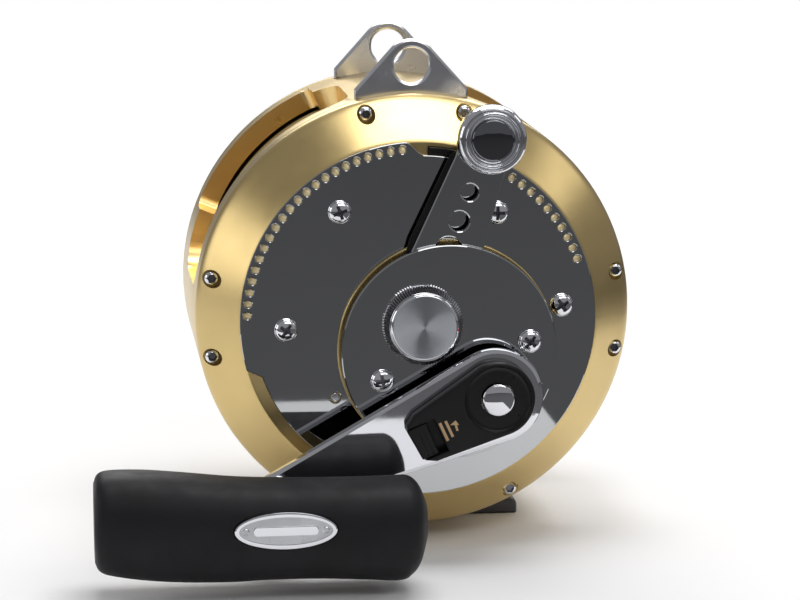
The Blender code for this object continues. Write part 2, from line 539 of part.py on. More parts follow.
# ---- drag lever, knobs and switches --------------------------------------------------------------
def make_lever():
    low, high = SIDE_H + 21.4, SIDE_H + 23.8
    edge = [(13.0, 14.0), (62.5, 10.0)]
    outline = arc(18.6, 62, 298, 20) + [(x, -w) for x, w in edge]
    outline += arc(10.5, -66, 66, 12, (LEVER_KNOB_AT - 3.0, 0)) + [(x, w) for x, w in edge[::-1]]
    holes = [circle(SHAFT_R + 0.6, 24), circle(4.7, 20, (29.4, 0)), circle(3.7, 18, (40.6, 0)),
             circle(3.1, 16, (52.0, 0))]
    plate("drag_lever", outline, low, high, "dark_mirror", holes, LEVER, turn=LEVER_ANGLE)
    cam = [(13.2, 21.1), (13.2, 13.2), (11.0, 12.2), (SHAFT_R + 0.6, 12.2), (SHAFT_R + 0.6, 21.1)]
    turned("drag_cam", [(r, SIDE_H + h) for r, h in cam], "steel", LEVER, steps=24)
    knob = [(0, 32.4), (6.0, 32.6), (9.0, 33.2), (10.4, 33.0), (11.0, 32.2), (12.6, 31.0), (13.0, 29.8),
            (13.0, 25.2), (12.2, 24.1), (0, 24.1)]
    knob_at = polar(LEVER_KNOB_AT, LEVER_ANGLE)
    turned("lever_knob", [(r, SIDE_H + h) for r, h in knob], "chrome", LEVER, knob_at, 20)
    preset = [(0, 34.0), (12.2, 34.0), (12.8, 33.4), (13.2, 32.4), (15.2, 28.6), (14.4, 27.4),
              (SHAFT_R + GAP, 27.4), (SHAFT_R + GAP, 32.0), (0, 32.0)]
    turned("preset_knob", [(r, SIDE_H + h) for r, h in preset], "steel", steps=20)
    strip = arc(65.3, 75.0, 87.0, 6) + arc(62.6, 87.0, 75.0, 6)
    plate("strike_stop", strip, SIDE_H + 15.0, SIDE_H + 18.4, "black_plastic")


def make_clicker():
    """The click switch outside the left plate, with the pawl it carries to the spool's ratchet."""
    outer = SIDE_H + 13.3
    knob = [(0, -outer - 3.6), (5.0, -outer - 3.6), (6.0, -outer - 2.8), (6.0, -outer), (2.6, -outer),
            (2.6, -SIDE_H + 9.2), (0, -SIDE_H + 9.2)]
    turned("click_switch", knob, "black_plastic", at=(0, 46.5), steps=20)
    pawl = [(-1.0, 37.6), (1.0, 37.6), (2.6, 42.0), (2.6, 49.5), (-2.6, 49.5), (-2.6, 42.0)]
    plate("click_pawl", pawl, -SIDE_H + 9.4, -SIDE_H + 11.3, "steel")


DOG_X, DOG_Z = HANDLE_X + 16.0, HANDLE_Z + 13.0
DOG = pivot("dog_axis", DOG_X, DOG_Z)

make_frame()
make_lugs()
make_foot()
make_right_side()
make_ring_screws()
make_quadrant_plate()
make_cover()
make_left_side()
make_spool()
make_gears()
make_anti_reverse()
make_handle()
make_shift_cap()
make_grip()
make_lever()
make_clicker()
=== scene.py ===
"""Look of the two-speed lever-drag trolling reel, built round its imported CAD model.

Pieces are drawn in "reel millimetres": a plan of (x, z) about the spool's axis and a height h along
that axis, 0 at the middle of the frame and growing towards the handle side. spot() puts such a point
in the row frame, in metres.
"""

from math import acos, atan2, cos, degrees, hypot, pi, radians, sin

import bmesh
import bpy
from mathutils import Matrix, Vector


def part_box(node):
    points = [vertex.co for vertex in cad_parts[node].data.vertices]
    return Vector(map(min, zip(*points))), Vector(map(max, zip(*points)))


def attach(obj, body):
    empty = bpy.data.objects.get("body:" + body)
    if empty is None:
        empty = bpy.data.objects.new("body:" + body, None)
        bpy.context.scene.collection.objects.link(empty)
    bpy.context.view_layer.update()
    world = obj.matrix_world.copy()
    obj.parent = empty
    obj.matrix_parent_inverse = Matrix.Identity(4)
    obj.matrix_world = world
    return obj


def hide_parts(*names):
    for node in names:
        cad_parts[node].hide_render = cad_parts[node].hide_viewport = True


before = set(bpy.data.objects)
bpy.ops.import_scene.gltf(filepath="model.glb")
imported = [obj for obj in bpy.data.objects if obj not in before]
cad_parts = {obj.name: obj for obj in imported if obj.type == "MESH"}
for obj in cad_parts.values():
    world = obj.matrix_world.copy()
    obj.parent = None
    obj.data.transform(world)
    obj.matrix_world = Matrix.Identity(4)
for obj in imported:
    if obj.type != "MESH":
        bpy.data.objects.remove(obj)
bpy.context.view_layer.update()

# ---- places read from the frame -------------------------------------------------------------------
MM = 0.001
AXIS_Z = sum(corner.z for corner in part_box("spool_shaft")) / 2 / MM


def plan(node):
    """The plan place (x, z) of the middle of a node."""
    low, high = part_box(node)
    return (low.x + high.x) / 2 / MM, (low.z + high.z) / 2 / MM - AXIS_Z


def heights(node):
    """The lowest and highest height of a node."""
    low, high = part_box(node)
    return -high.y / MM, -low.y / MM


RING_R = (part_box("frame")[1].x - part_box("frame")[0].x) / 2 / MM
FRAME_END = heights("frame")[1]
SIDE_H = FRAME_END + 6.0           # each side plate's outline plane
HANDLE = plan("drive_shaft")
POST = plan("grip_post")
KNOB = plan("lever_knob")
ARM_LENGTH = hypot(POST[0] - HANDLE[0], POST[1] - HANDLE[1])
ARM_TURN = atan2(POST[1] - HANDLE[1], POST[0] - HANDLE[0])
LEVER_TURN = atan2(KNOB[1], KNOB[0])
PLATE_LOW, PLATE_TOP = heights("quadrant_plate")
COVER = plan("cover_disc")
COVER_LOW, COVER_TOP = heights("cover_disc")
LEVER_LOW, LEVER_TOP = heights("drag_lever")
PLATE_SCREWS = [plan(f"plate_screw_{index}") for index in (1, 2, 3, 4)]
COVER_SCREWS = [plan(f"cover_screw_{index}") for index in (1, 2, 3)]
SET_SCREW = plan("set_screw")

# ---- sizes shared by several pieces ---------------------------------------------------------------
FACE_H = 16.6                      # the right side plate's flat face, above its outline plane
BACK_H = 13.0                      # the left side plate's flat face, the same way
SPINDLE_BORE_R = 4.6               # round the preset knob's stem, in every plate that it passes
SHAFT_BORE_R = 7.0                 # round the drive shaft, in the cover and the quadrant plate
HUB_BORE_R = 13.6                  # round the drag cam
RING_SCREW_ANGLES = [76.3, 103.7, 169.0, 191.0, 242.0, 298.0, 349.0, 11.0]
RING_SCREW_R = 78.3                # how far out the screws stand
COUNTERBORE_R = 3.4
PLATE_LEFT_R = 67.4                # where the cone ends, and the quadrant plate's edge at the rear
SEAT = 0.3                         # the gap between a piece and the one that it rests on, as in the CAD
HAIR = 0.01                        # the bevel of a cutter, which has to have one but stays sharp
MERGE = 0.002                      # points nearer than this become one


def spot(x, z, h):
    """A point of the plan at a height, as a place in the row frame."""
    return Vector((x * MM, -h * MM, (AXIS_Z + z) * MM))


# ---- materials ------------------------------------------------------------------------------------
COLOUR_PATCHES, GLOSS_PATCHES = 55.0, 120.0       # noise scales, per metre
GRAIN_DEPTH = 0.0001


def finish(name, colour, metallic, rough, grain, mottle, spread, **extra):
    """A procedural finish: fine grain in the bump, and slow changes in colour and roughness.

    grain is the bump's (scale, strength), mottle the share the colour varies by, and spread how far
    the roughness goes either way.
    """
    made = bpy.data.materials.new(name)
    made.use_nodes = True
    nodes, links = made.node_tree.nodes, made.node_tree.links
    shader = nodes["Principled BSDF"]
    shader.inputs["Metallic"].default_value = metallic
    for socket, value in extra.items():
        shader.inputs[socket.replace("_", " ")].default_value = value
    where = nodes.new("ShaderNodeTexCoord")

    def noise(scale, detail):
        made_noise = nodes.new("ShaderNodeTexNoise")
        made_noise.inputs["Scale"].default_value = scale
        made_noise.inputs["Detail"].default_value = detail
        links.new(where.outputs["Object"], made_noise.inputs["Vector"])
        return made_noise.outputs["Fac"]

    def ramp(source, low, high):
        made_ramp = nodes.new("ShaderNodeMapRange")
        made_ramp.inputs["From Min"].default_value = 0.3
        made_ramp.inputs["From Max"].default_value = 0.7
        made_ramp.inputs["To Min"].default_value = low
        made_ramp.inputs["To Max"].default_value = high
        links.new(source, made_ramp.inputs["Value"])
        return made_ramp.outputs["Result"]

    mix = nodes.new("ShaderNodeMix")
    mix.data_type = "RGBA"
    mix.inputs["A"].default_value = (*[c * (1 - mottle) for c in colour], 1)
    mix.inputs["B"].default_value = (*[min(1, c * (1 + mottle)) for c in colour], 1)
    links.new(ramp(noise(COLOUR_PATCHES, 3.0), 0.0, 1.0), mix.inputs["Factor"])
    links.new(mix.outputs["Result"], shader.inputs["Base Color"])
    gloss = ramp(noise(GLOSS_PATCHES, 4.0), max(0.0, rough - spread), rough + spread)
    links.new(gloss, shader.inputs["Roughness"])
    bump = nodes.new("ShaderNodeBump")
    bump.inputs["Strength"].default_value = grain[1]
    bump.inputs["Distance"].default_value = GRAIN_DEPTH
    links.new(noise(grain[0], 2.0), bump.inputs["Height"])
    links.new(bump.outputs["Normal"], shader.inputs["Normal"])
    return made


def turned_finish(name, colour, rough, anisotropic):
    """Metal faced on a lathe: its shine is drawn out across the concentric grooves."""
    made = finish(name, colour, 1.0, rough, (2500.0, 0.05), 0.05, 0.02, Anisotropic=anisotropic)
    nodes, links = made.node_tree.nodes, made.node_tree.links
    tangent = nodes.new("ShaderNodeTangent")
    tangent.direction_type = "RADIAL"
    tangent.axis = "Y"
    links.new(tangent.outputs["Tangent"], nodes["Principled BSDF"].inputs["Tangent"])
    return made


GOLD = finish("satin_gold", (0.66, 0.50, 0.225), 1.0, 0.3, (2600.0, 0.2), 0.03, 0.025)
# A lighter copy of the satin gold, which the window walls take from their cutters: painted light, brightening
# walls that stand in shade inside the frame.
GOLD_WALL_PAINTED_LIGHT = finish("satin_gold_wall_painted_light", (0.84, 0.61, 0.27), 1.0, 0.3, (2600.0, 0.15), 0.03, 0.03)
MIRROR = finish("dark_polish", (0.52, 0.53, 0.54), 1.0, 0.03, (3000.0, 0.004), 0.01, 0.008)
CHROME = finish("chrome_polish", (0.78, 0.79, 0.82), 1.0, 0.04, (3000.0, 0.008), 0.015, 0.012)
# A lighter, half-matt copy of the satin gold for the slot floors: painted light.
PIP_GOLD_PAINTED_LIGHT = finish("pip_gold_painted_light", (0.80, 0.66, 0.38), 0.35, 0.35, (2600.0, 0.1), 0.04, 0.04)
LUG_STEEL = finish("polished_steel", (0.78, 0.79, 0.82), 1.0, 0.24, (1600.0, 0.06), 0.05, 0.04)
# Darker metal for the screw sockets, the cross recesses and the preset knob's knurled band: painted shade
# where hollows and grooves fall dark.
RECESS_SHADE_PAINT = finish("recess_painted_shade", (0.17, 0.17, 0.18), 1.0, 0.3, (1600.0, 0.06), 0.1, 0.05)
DOME = finish("dark_dome", (0.20, 0.205, 0.22), 1.0, 0.03, (3000.0, 0.004), 0.02, 0.01)
STEEL = finish("turned_steel", (0.52, 0.53, 0.55), 1.0, 0.3, (1400.0, 0.12), 0.08, 0.06)
KNOB_FACE = turned_finish("faced_steel", (0.72, 0.75, 0.79), 0.22, 0.95)
BRASS = finish("machined_bronze", (0.62, 0.43, 0.18), 1.0, 0.32, (1500.0, 0.12), 0.1, 0.06)
PLASTIC = finish("black_moulding", (0.005, 0.005, 0.0055), 0.0, 0.34, (2200.0, 0.12), 0.2, 0.05,
                 Specular_IOR_Level=0.3)
RUBBER = finish("grip_rubber", (0.006, 0.006, 0.0075), 0.0, 0.55, (1900.0, 0.32), 0.25, 0.06,
                Specular_IOR_Level=0.25)
FOOT = finish("grey_anodised", (0.10, 0.10, 0.105), 1.0, 0.42, (2000.0, 0.2), 0.08, 0.05)
LINING = finish("friction_lining", (0.045, 0.045, 0.045), 0.0, 0.8, (700.0, 0.5), 0.4, 0.08)
GOLD_PRINT = finish("gold_print", (0.50, 0.33, 0.17), 0.0, 0.45, (1500.0, 0.1), 0.1, 0.05)
RED_PAINT = finish("red_paint", (0.45, 0.01, 0.015), 0.0, 0.4, (1500.0, 0.1), 0.1, 0.05)


# ---- drawing tools --------------------------------------------------------------------------------
def arc(radius, start, end, count, centre=(0.0, 0.0)):
    """Points along an arc, from start to end degrees."""
    turns = [radians(start + (end - start) * i / (count - 1)) for i in range(count)]
    return [(centre[0] + radius * cos(t), centre[1] + radius * sin(t)) for t in turns]


def circle(radius, count=64, centre=(0.0, 0.0)):
    """Points round a full circle, the first not repeated."""
    return arc(radius, 0, 360 - 360 / count, count, centre)


def oval(half_long, half_high, centre, count=72):
    """Points round an ellipse that lies level."""
    return [(centre[0] + half_long * cos(2 * pi * i / count), centre[1] + half_high * sin(2 * pi * i / count))
            for i in range(count)]


def polar(radius, angle):
    """The plan place at a radius and an angle in degrees."""
    return radius * cos(radians(angle)), radius * sin(radians(angle))


def turn_plan(points, turn, centre=(0.0, 0.0)):
    """Plan points turned about the origin by radians, then moved to centre."""
    return [(centre[0] + x * cos(turn) - z * sin(turn), centre[1] + x * sin(turn) + z * cos(turn))
            for x, z in points]


def raised(points, base):
    """Profile points (radius, height, corner) with every height measured from base."""
    return [(point[0], base + point[1], *point[2:]) for point in points]


def rounded(points, radius=0.3, steps=3, closed=True):
    """The points with each corner rounded, by radius or by the corner's own third number."""
    out, count = [], len(points)
    for index, point in enumerate(points):
        size = point[2] if len(point) > 2 else radius
        here = Vector(point[:2])
        if size <= 0 or (not closed and index in (0, count - 1)):
            out.append(tuple(here))
            continue
        before = Vector(points[index - 1][:2]) - here
        after = Vector(points[(index + 1) % count][:2]) - here
        if before.normalized().dot(after.normalized()) < -0.99:
            out.append(tuple(here))
            continue
        first = here + before.normalized() * min(size, before.length * 0.46)
        last = here + after.normalized() * min(size, after.length * 0.46)
        for step in range(steps + 1):
            t = step / steps
            out.append(tuple(first * (1 - t) ** 2 + here * 2 * t * (1 - t) + last * t ** 2))
    return out


def settle(name, shape, material, sharp=38.0):
    """Turns a bmesh in reel millimetres into an object: smooth, with real corners and flats kept crisp."""
    bmesh.ops.remove_doubles(shape, verts=shape.verts, dist=MERGE)
    bmesh.ops.recalc_face_normals(shape, faces=shape.faces)
    for vert in shape.verts:
        vert.co = spot(*vert.co)
    bmesh.ops.recalc_face_normals(shape, faces=shape.faces)
    crisp(shape, sharp)
    mesh = bpy.data.meshes.new(name)
    shape.to_mesh(mesh)
    shape.free()
    made = bpy.data.objects.new(name, mesh)
    mesh.materials.append(material)
    bpy.context.scene.collection.objects.link(made)
    return made


def crisp(shape, sharp):
    """Marks as sharp the edges between faces that meet at more than `sharp` degrees, and round every flat."""
    shape.normal_update()
    for face in shape.faces:
        face.smooth = True
    for edge in shape.edges:
        if len(edge.link_faces) != 2:
            continue
        one, two = (face.normal for face in edge.link_faces)
        flat_one, flat_two = abs(one.y) > 0.99995, abs(two.y) > 0.99995
        edge.smooth = one.angle(two, 0.0) < radians(sharp) and flat_one == flat_two


def lathe(name, profile, material, centre=(0.0, 0.0), steps=128, knurl=None, sharp=38.0):
    """(radius, height) points turned about a centre. A profile that touches the axis starts and ends on it.

    knurl is (lowest height, highest height, depth): in that band every other point round is cut in.
    """
    shape = bmesh.new()
    rings = []
    for radius, height in profile:
        if radius < 1e-6:
            rings.append([shape.verts.new((centre[0], centre[1], height))])
            continue
        ring = []
        for step in range(steps):
            angle = 2 * pi * step / steps
            depth = 0.0
            if knurl and knurl[0] <= height <= knurl[1]:
                depth = knurl[2] * (step % 2)
            ring.append(shape.verts.new((centre[0] + (radius - depth) * cos(angle),
                                         centre[1] + (radius - depth) * sin(angle), height)))
        rings.append(ring)
    pairs = list(zip(rings, rings[1:]))
    if len(rings[0]) > 1:
        pairs.append((rings[-1], rings[0]))
    for one, two in pairs:
        for step in range(steps):
            after = (step + 1) % steps
            corners = [one[step % len(one)], one[after % len(one)],
                       two[after % len(two)], two[step % len(two)]]
            kept = [v for i, v in enumerate(corners) if v not in corners[:i]]
            if len(kept) > 2:
                shape.faces.new(kept)
    return settle(name, shape, material, sharp)


def plate(name, outline, low, high, material, holes=(), bevel=0.25, sharp=38.0):
    """A plan outline with holes, from height low to high, its edges rounded by bevel."""
    curve = bpy.data.curves.new(name, "CURVE")
    curve.dimensions = "2D"
    curve.fill_mode = "BOTH"
    curve.extrude = (high - low) / 2 - bevel
    curve.bevel_depth = bevel
    curve.bevel_resolution = 1
    curve.offset = -bevel
    for points in [outline, *holes]:
        spline = curve.splines.new("POLY")
        spline.points.add(len(points) - 1)
        for point, (x, z) in zip(spline.points, points):
            point.co = (x, z, 0, 1)
        spline.use_cyclic_u = True
    guide = bpy.data.objects.new(name + "_guide", curve)
    bpy.context.scene.collection.objects.link(guide)
    mesh = bpy.data.meshes.new_from_object(guide.evaluated_get(bpy.context.evaluated_depsgraph_get()))
    bpy.data.objects.remove(guide)
    shape = bmesh.new()
    shape.from_mesh(mesh)
    bpy.data.meshes.remove(mesh)
    for vert in shape.verts:
        vert.co.z += (low + high) / 2
    return settle(name, shape, material, sharp)


def carve(target, cutters, operation="DIFFERENCE", sharp=38.0, bevel=0.0):
    """Applies a Boolean of each cutter to target, softens the edges by bevel, and removes the cutters."""
    for cutter in cutters:
        boolean = target.modifiers.new(cutter.name, "BOOLEAN")
        boolean.operation = operation
        boolean.solver = "EXACT"
        boolean.material_mode = "TRANSFER"
        boolean.object = cutter
    if bevel:
        soften = target.modifiers.new("soften", "BEVEL")
        soften.width = bevel * MM
        soften.segments = 3
        soften.limit_method = "ANGLE"
        soften.angle_limit = radians(50)
        soften.harden_normals = False
    bpy.context.view_layer.update()
    mesh = bpy.data.meshes.new_from_object(target.evaluated_get(bpy.context.evaluated_depsgraph_get()))
    target.modifiers.clear()
    shape = bmesh.new()
    shape.from_mesh(mesh)
    bmesh.ops.remove_doubles(shape, verts=shape.verts, dist=MERGE * MM)
    crisp(shape, sharp)
    shape.to_mesh(mesh)
    shape.free()
    old, target.data = target.data, mesh
    bpy.data.meshes.remove(old)
    for cutter in cutters:
        bpy.data.objects.remove(cutter)
    return target


def stand_for(piece, body, slot, *nodes):
    """Puts a piece on its body, in place of the CAD nodes that it stands for."""
    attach(piece, body)
    if nodes:
        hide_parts(*nodes)


# ---- frame, lugs and foot -------------------------------------------------------------------------
FRAME_WALL = 7.6
WINDOW_H = 34.5
# Start and end angle, lowest and highest height, and corner: the first one is stepped.
WINDOWS = [(105.6, 174.4, -21.0, WINDOW_H, 13.0), (112.6, 158.4, -WINDOW_H, 0.0, 5.0),
           (200.3, 229.2, -WINDOW_H, WINDOW_H, 9.0), (311.2, 333.3, -WINDOW_H, WINDOW_H, 9.0),
           (346.3, 433.7, -WINDOW_H, WINDOW_H, 9.0)]
LUG_H = sum(heights("harness_lug_right")) / 2
LUG_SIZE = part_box("harness_lug_right")
LUG_BASE_HALF = LUG_SIZE[1].x / MM
LUG_BASE_Z = LUG_SIZE[0].z / MM - AXIS_Z
LUG_TOP_R = 10.0
LUG_HOLE_Z = LUG_SIZE[1].z / MM - AXIS_Z - LUG_TOP_R


def window_cutter(name, start, end, low, high, corner):
    """A block through the frame's wall, from start to end degrees, its corners rounded seen from outside."""
    inner, outer = RING_R - FRAME_WALL - 6, RING_R + 6
    sizes = rounded([(radians(start) * RING_R, low), (radians(end) * RING_R, low),
                     (radians(end) * RING_R, high), (radians(start) * RING_R, high)], corner, 8)
    edge = []
    for index, (along, height) in enumerate(sizes):
        following = sizes[(index + 1) % len(sizes)]
        pieces = max(1, int(abs(following[0] - along) / RING_R / radians(2.0)))
        for piece in range(pieces):
            share = piece / pieces
            edge.append((along + (following[0] - along) * share, height + (following[1] - height) * share))
    shape = bmesh.new()
    rings = [[shape.verts.new((radius * cos(along / RING_R), radius * sin(along / RING_R), height))
              for along, height in edge] for radius in (inner, outer)]
    count = len(edge)
    for index in range(count):
        after = (index + 1) % count
        shape.faces.new((rings[0][index], rings[0][after], rings[1][after], rings[1][index]))
    for ring in rings:
        middle = shape.verts.new(sum((vert.co for vert in ring), Vector()) / count)
        radius = inner if ring is rings[0] else outer
        spread = hypot(middle.co.x, middle.co.y)
        middle.co.x *= radius / spread
        middle.co.y *= radius / spread
        for index in range(count):
            shape.faces.new((ring[index], ring[(index + 1) % count], middle))
    # The cutter carries the lighter gold, so the window walls that it leaves take painted light.
    return settle(name, shape, GOLD_WALL_PAINTED_LIGHT)


def make_frame():
    """The tube that the side plates close, with its windows and the slots that the lugs stand in."""
    inner = RING_R - FRAME_WALL
    tube = rounded([(RING_R, FRAME_END), (RING_R, -FRAME_END), (inner, -FRAME_END), (inner, FRAME_END)], 0.4)
    body = lathe("frame_body", tube, GOLD, steps=240)
    cutters = [window_cutter(f"window_{index}", *window) for index, window in enumerate(WINDOWS)]
    for side in (LUG_H, -LUG_H):
        half, wide, floor, above = 2.3, LUG_BASE_HALF + SEAT, LUG_BASE_Z - SEAT, RING_R + 9
        slot = [(-wide, floor), (wide, floor), (wide, above), (-wide, above)]
        cutters.append(plate(f"lug_slot_{side}", slot, side - half, side + half, GOLD, bevel=HAIR))
    carve(body, cutters, bevel=0.5)
    stand_for(body, "reel_body", "gold", "frame")


def make_lugs():
    """Two plates, straight-sided from an upright base up to a round top, each with its harness hole."""
    upright = 4.0
    rise = LUG_HOLE_Z - LUG_BASE_Z - upright
    lean = degrees(acos(LUG_TOP_R / hypot(rise, LUG_BASE_HALF)))
    slope = degrees(acos(LUG_BASE_HALF / hypot(rise, LUG_BASE_HALF)))
    outline = [(-LUG_BASE_HALF, LUG_BASE_Z), (LUG_BASE_HALF, LUG_BASE_Z)]
    outline.append((LUG_BASE_HALF, LUG_BASE_Z + upright))
    outline += arc(LUG_TOP_R, lean - slope, 180 - lean + slope, 40, (0, LUG_HOLE_Z))
    outline.append((-LUG_BASE_HALF, LUG_BASE_Z + upright))
    for side, middle in (("right", LUG_H), ("left", -LUG_H)):
        lug = plate(f"harness_eye_{side}", outline, middle - 2.0, middle + 2.0, LUG_STEEL,
                    [circle(6.7, 64, (0, LUG_HOLE_Z))], bevel=0.9)
        stand_for(lug, "reel_body", "chrome", f"harness_lug_{side}")


def make_foot():
    """The block under the frame and its flat feet; both screw bores go up through it."""
    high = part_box("reel_foot")[1]
    half, reach, block, flat = high.x / MM, AXIS_Z, 30.0, AXIS_Z - 6.0
    saddle = degrees(acos(block / (RING_R + SEAT)))
    outline = [(-half, -reach, 0.8), (half, -reach, 0.8), (half, -flat, 3.0), (block + 1.0, -flat, 1.0)]
    outline += [(x, z, 0) for x, z in arc(RING_R + SEAT, -saddle, -180 + saddle, 48)]
    outline += [(-block - 1.0, -flat, 1.0), (-half, -flat, 3.0)]
    foot = plate("foot_body", rounded(outline, 1.0, 6), -high.y / MM, high.y / MM, FOOT, bevel=0.8)
    bores = []
    for node in ("foot_screw_1", "foot_screw_2"):
        x = plan(node)[0]
        base = -reach - 1
        upright = (Matrix.Translation((x * MM, 0, AXIS_Z * MM)) @ Matrix.Rotation(-pi / 2, 4, "X")
                   @ Matrix.Translation((0, 0, -AXIS_Z * MM)))
        for index, (radius, top) in enumerate(((2.3, -60.0), (4.3, -reach + 4.3))):
            profile = [(0, base), (radius, base), (radius, top), (0, top)]
            bore = lathe(f"{node}_bore_{index}", profile, FOOT, steps=40)
            bore.data.transform(upright)
            bores.append(bore)
    carve(foot, bores)
    stand_for(foot, "reel_body", "foot_metal", "reel_foot")


# ---- side plates and their screws -----------------------------------------------------------------
def rim(top_r, top_h):
    """The outside of a side plate, (radius, height above the outline plane): rim, rounded edge and cone."""
    return [(RING_R, -5.7, 0.3), (RING_R, -0.45, 5.0), (top_r + 0.6, top_h - 0.8, 0.8),
            (top_r - 0.4, top_h, 0.3)]


def counterbores():
    """Stepped holes for the ring screws of the right side plate."""
    floor, mouth, end, shank = SIDE_H - 0.2, SIDE_H + 14.0, SIDE_H - 9.0, 1.6
    profile = [(0, mouth), (COUNTERBORE_R, mouth), (COUNTERBORE_R, floor), (shank, floor), (shank, end),
               (0, end)]
    return [lathe(f"counterbore_{index}", profile, GOLD, polar(RING_SCREW_R, angle), 32)
            for index, angle in enumerate(RING_SCREW_ANGLES)]


def make_right_side():
    """The gold cone on the handle side: its hollow, hub and shaft bores, and the strike stop's pocket."""
    outside = raised(rim(PLATE_LEFT_R, FACE_H), SIDE_H)
    inside = raised([(SPINDLE_BORE_R, FACE_H), (SPINDLE_BORE_R, 11.5), (60.5, 11.5), (64.0, 9.5),
                     (75.6, -2.6), (75.6, -5.7)], SIDE_H)
    body = lathe("side_plate_right", rounded(outside + inside, 0.3, 5), GOLD, steps=288)
    bores = counterbores()
    above, below = SIDE_H + 20, SIDE_H + 10
    for name, centre, radius in (("hub", (0, 0), HUB_BORE_R), ("drive", HANDLE, 11.3)):
        profile = [(0, above), (radius, above), (radius, below), (0, below)]
        bores.append(lathe(f"bore_{name}", profile, GOLD, centre, 64))
    pocket = arc(65.6, 74.6, 87.4, 14) + arc(62.3, 87.4, 74.6, 14)
    bores.append(plate("strike_pocket", pocket, SIDE_H + 13.4, above, GOLD, bevel=HAIR))
    carve(body, bores)
    stand_for(body, "reel_body", "gold", "right_side_plate")


def make_left_side():
    """The plainer cone on the far side, with a groove and the click switch's slot, and the bearing cap."""
    outside = [(radius, -SIDE_H - height, corner) for radius, height, corner in rim(64.0, BACK_H)]
    inside = raised([(4.3, -BACK_H), (4.3, -4.0), (10.0, -4.0), (10.0, -9.0), (60.0, -9.0), (76.0, 2.0),
                     (76.0, 5.7)], -SIDE_H)
    body = lathe("side_plate_left", rounded(outside + inside, 0.3, 5), GOLD, steps=240)
    cutters = []
    mouth, floor = -SIDE_H - 14.0, -SIDE_H - 0.2
    profile = [(0, mouth), (COUNTERBORE_R, mouth), (COUNTERBORE_R, floor), (0, floor)]
    for index, angle in enumerate(RING_SCREW_ANGLES):
        cutters.append(lathe(f"left_bore_{index}", profile, GOLD, polar(RING_SCREW_R, angle), 32))
    slot = rounded([(-3.0, 38.4), (3.0, 38.4), (3.0, 50.0), (-3.0, 50.0)], 2.9, 6)
    cutters.append(plate("click_slot", slot, -SIDE_H - 15, -SIDE_H - 7, GOLD, bevel=HAIR))
    groove = raised([(52.0, -14.0), (52.8, -14.0), (52.8, -12.5), (52.0, -12.5)], -SIDE_H)
    cutters.append(lathe("face_groove", groove, GOLD, steps=240))
    carve(body, cutters)
    stand_for(body, "reel_body", "gold", "left_side_plate")
    cap = [(0, -19.0), (9.0, -18.7, 2.0), (15.2, -16.6, 1.5), (16.0, -15.0, 0.6), (16.0, -13.3, 0.2),
           (6.0, -13.3, 0.2), (6.0, -16.0, 0.2), (0, -16.0)]
    knob = lathe("bearing_cap_left", rounded(raised(cap, -SIDE_H), 0.3, 4, False), GOLD)
    coin_slot = [(-6.0, -0.9), (6.0, -0.9), (6.0, 0.9), (-6.0, 0.9)]
    carve(knob, [plate("coin_slot", coin_slot, -SIDE_H - 20, -SIDE_H - 17.6, GOLD, bevel=HAIR)])
    stand_for(knob, "reel_body", "gold", "left_bearing_cap")


def hex_screw(name, centre, base, top, radius, facing=1):
    """A socket head: a domed round head with a hexagon pressed into it. facing is -1 on the left side."""
    head = rounded([(0, top), (radius * 0.62, top), (radius, top - facing * 0.8, 0.8), (radius, base, 0.2),
                    (0, base)], 0.5, 5, False)
    screw = lathe(name, head, CHROME, centre, 48)
    deep = top - facing * 1.5
    socket = [(0, top + facing * 0.2), (radius * 0.66, top + facing * 0.2), (radius * 0.56, deep), (0, deep)]
    # The socket walls take the cutter's darker metal: painted shade.
    carve(screw, [lathe(name + "_socket", socket, RECESS_SHADE_PAINT, centre, 6)])
    return screw


def make_ring_screws():
    """The eight screws round each side plate. Only those on the right stand for CAD nodes."""
    base, top, radius = SIDE_H + 0.1, SIDE_H + 3.9, 2.7
    for number, angle in enumerate(RING_SCREW_ANGLES, 1):
        centre = polar(RING_SCREW_R, angle)
        screw = hex_screw(f"ring_socket_screw_{number}", centre, base, top, radius)
        stand_for(screw, "reel_body", "chrome", f"ring_screw_{number}")
        back = hex_screw(f"left_socket_screw_{number}", centre, -base, -top, radius, -1)
        stand_for(back, "reel_body", "chrome")


def cross_screw(name, centre, base, turn):
    """A pan head with a cross recess."""
    radius, height, skirt = 4.4, 2.6, 0.9
    dome = [(0, base + height)]
    dome += [(radius * 0.93 * sin(radians(lean)), base + skirt + (height - skirt) * cos(radians(lean)))
             for lean in range(10, 91, 10)]
    dome += [(radius, base + 0.55), (radius, base), (0, base)]
    screw = lathe(name, dome, CHROME, centre, 64)
    arms = []
    for index, angle in enumerate((turn, turn + pi / 2)):
        bar = turn_plan([(-2.7, -0.6), (2.7, -0.6), (2.7, 0.6), (-2.7, 0.6)], angle, centre)
        # The cross recess takes the cutters' darker metal: painted shade.
        arms.append(plate(f"{name}_arm_{index}", bar, base + skirt, base + height + 1, RECESS_SHADE_PAINT, bevel=HAIR))
    cone = [(0, base + height + 1), (2.0, base + height + 1), (0.6, base + 0.5), (0, base + 0.5)]
    arms.append(lathe(f"{name}_cone", cone, RECESS_SHADE_PAINT, centre, 4))
    return carve(screw, arms)


# ---- quadrant plate, cover and their fittings ------------------------------------------------------
PLATE_R, NOTCH_R = 66.7, 62.6
SLOT_LONG, SLOT_WIDE = 3.2, 2.6
SLOT_RUNS = [(64.7, 95.8, 177.3, 22), (63.5, 20.5, 57.0, 10)]     # radius, first and last angle, count


def slot_outlines():
    """(radius, outline) of every detent slot, a short oval that points at the axis."""
    half, reach = SLOT_WIDE / 2, (SLOT_LONG - SLOT_WIDE) / 2
    slots = []
    for radius, first, last, count in SLOT_RUNS:
        ends = arc(half, 90, -90, 9, (radius + reach, 0)) + arc(half, 270, 90, 9, (radius - reach, 0))
        for index in range(count):
            angle = first + (last - first) * index / (count - 1)
            slots.append((radius, turn_plan(ends, radians(angle))))
    return slots


